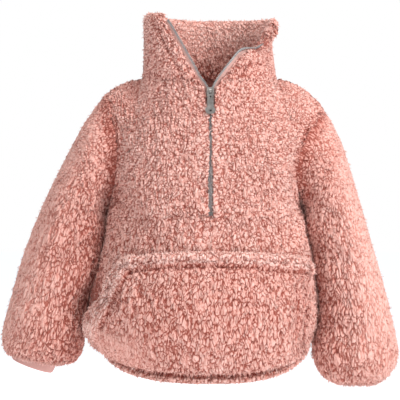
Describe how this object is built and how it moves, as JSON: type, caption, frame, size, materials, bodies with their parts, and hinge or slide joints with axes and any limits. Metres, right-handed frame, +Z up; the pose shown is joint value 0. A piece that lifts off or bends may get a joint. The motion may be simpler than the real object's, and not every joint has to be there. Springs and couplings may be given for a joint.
{
  "type": "half-zip fleece pullover",
  "caption": "Half-zip fleece pullover with a tall stand collar, long sleeves and a kangaroo pocket, filled out as when worn and open at the neck, hem and cuffs.",
  "frame": {"origin": "The mount worn_at_neck: on the zip's line, midway between the side neck points in X, level with them in Z, and between the front and back neck seams in Y.", "axes": "+X is the viewer's right when the front is seen, across the sleeves; +Y is from front to back, so the front faces -Y; +Z is up, from hem to collar."},
  "size_m": [0.473, 0.2136, 0.4411],
  "materials": {
    "fleece": "curled pile, matte",
    "jersey": "smooth knit, matte",
    "tape": "woven, matte",
    "zip_metal": "brushed"
  },
  "bodies": {
    "garment": {"front": "fleece", "back": "fleece", "sleeve_left": "fleece", "sleeve_right": "fleece", "collar": "fleece", "pocket": "fleece", "cuff_left": "jersey", "cuff_right": "jersey", "zip_tape_left": "tape", "zip_tape_right": "tape", "zip_teeth_left": "zip_metal", "zip_teeth_right": "zip_metal", "zip_slider": "zip_metal", "zip_stop": "zip_metal"},
    "pull_tab": {"pull_tab": "zip_metal"}
  },
  "joints": [
    {"name": "pull_tab_swing", "type": "hinge", "parent": "garment", "child": "pull_tab", "pos_m": [0, -0.07193, -0.02049], "axis": [-1, 0, 0], "range_deg": [0, 150]}
  ]
}
